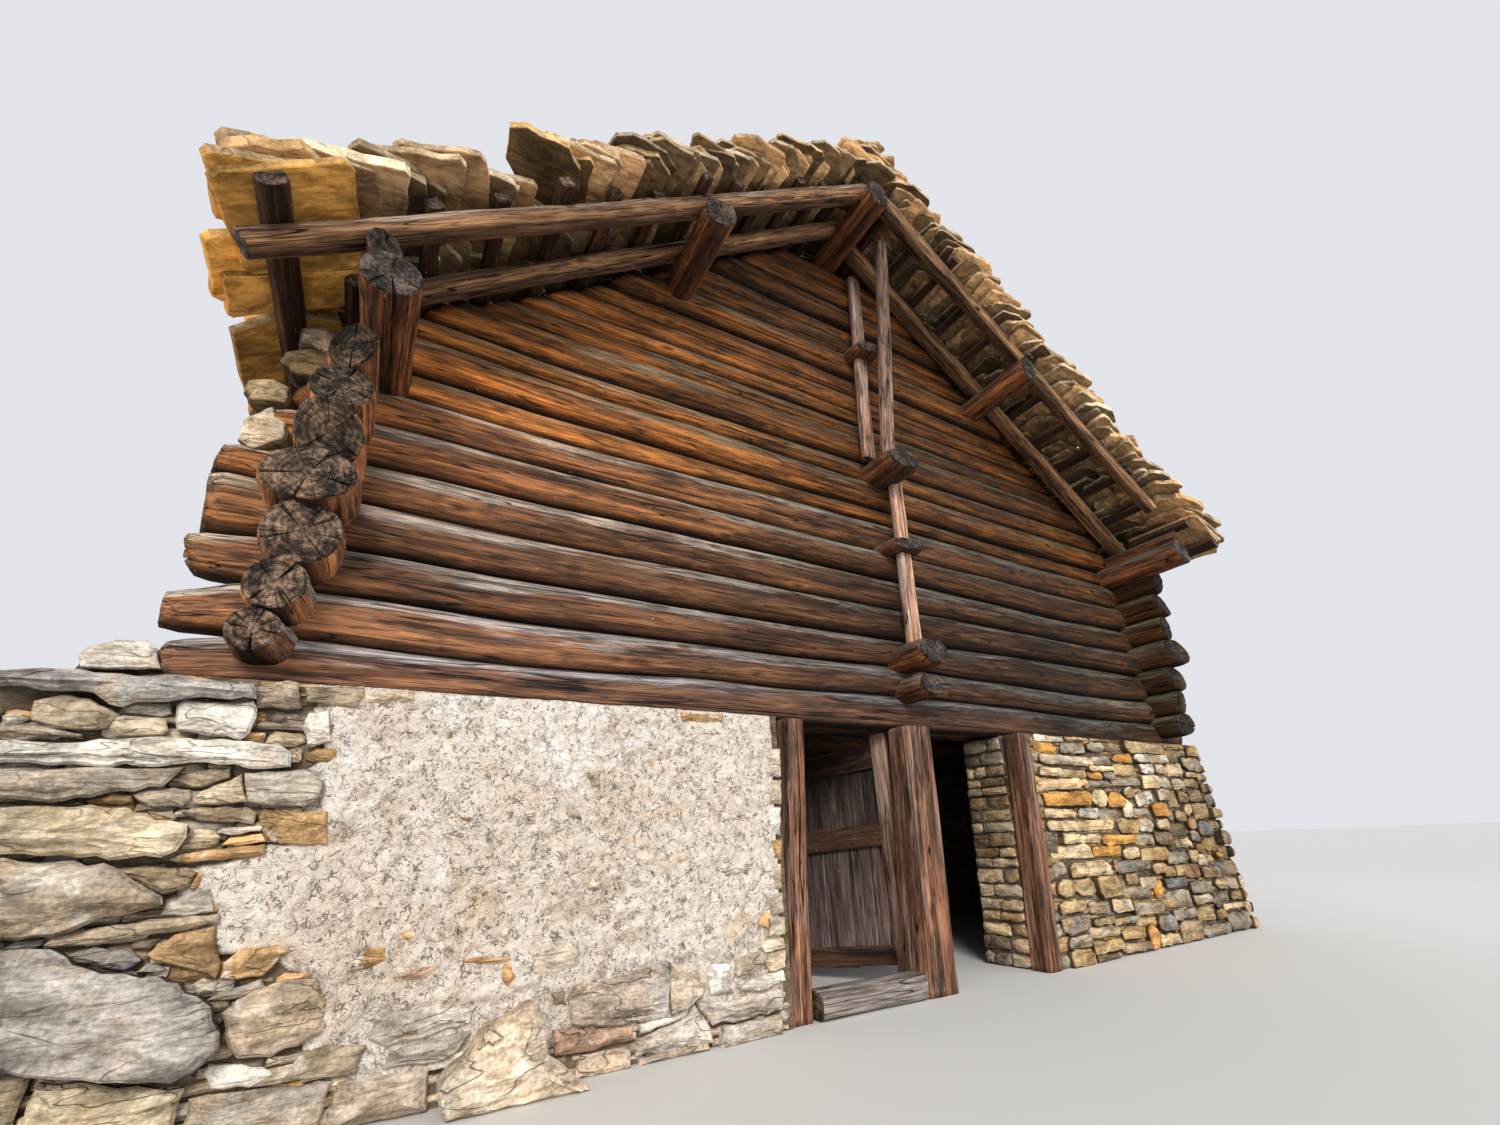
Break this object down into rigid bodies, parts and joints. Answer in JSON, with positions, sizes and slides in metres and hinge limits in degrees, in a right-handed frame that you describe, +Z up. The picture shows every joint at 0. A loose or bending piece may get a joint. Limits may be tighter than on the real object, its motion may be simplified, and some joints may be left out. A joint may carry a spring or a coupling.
{
  "type": "alpine log chalet",
  "caption": "Alpine log chalet: drystone ground floor with a stable door, log-built upper floor and gable, stone-slab roof on poles and purlins",
  "frame": {"origin": "centre of the bounding box's underside, at the level of the lowest ground by the stable door", "axes": "+X to the right along the front gable, +Y into the depth, +Z up; the front gable faces -Y"},
  "size_m": [10.3, 9.51, 8.1342],
  "materials": {
    "old_wood": "weathered hewn logs, orange brown below and grey on top",
    "dark_wood": "dark weathered round timber",
    "grey_wood": "grey weathered boards",
    "drystone": "rough drystone",
    "lime_plaster": "rough lime plaster",
    "roof_stone": "split stone slabs"
  },
  "bodies": {
    "house": {"front_wall_left": "drystone", "front_wall_right": "drystone", "left_wall": "drystone", "right_wall": "drystone", "back_wall": "drystone", "side_wall_stub": "drystone", "plaster_coat": "lime_plaster", "left_door_post": "old_wood", "middle_door_post": "old_wood", "right_door_post": "old_wood", "threshold_log": "grey_wood", "front_sill_log": "old_wood", "front_logs_odd": "old_wood", "front_logs_even": "old_wood", "front_gable_logs_odd": "old_wood", "front_gable_logs_even": "old_wood", "back_logs_odd": "old_wood", "back_logs_even": "old_wood", "back_gable_logs_odd": "old_wood", "back_gable_logs_even": "old_wood", "left_logs_odd": "old_wood", "left_logs_even": "old_wood", "right_logs_odd": "old_wood", "right_logs_even": "old_wood", "ridge_purlin": "dark_wood", "mid_purlins": "dark_wood", "left_eaves_purlin": "dark_wood", "right_eaves_purlin": "dark_wood", "eaves_plates": "dark_wood", "left_rafters": "dark_wood", "right_rafters": "dark_wood", "left_battens": "dark_wood", "right_battens": "dark_wood", "left_roof_slabs": "roof_stone", "right_roof_slabs": "roof_stone", "ridge_slabs": "roof_stone", "lower_clamp_post": "grey_wood", "upper_clamp_posts": "grey_wood", "clamp_stubs": "dark_wood", "floor_joists": "dark_wood", "floor_boards": "dark_wood"},
    "door": {"door_boards": "grey_wood", "door_ledges": "dark_wood", "door_stile": "old_wood"}
  },
  "joints": [
    {"name": "stable_door_hinge", "type": "hinge", "parent": "house", "child": "door", "pos_m": [0.43, -3.455, 0.9], "axis": [0, 0, 1], "range_deg": [-20, 65]}
  ]
}
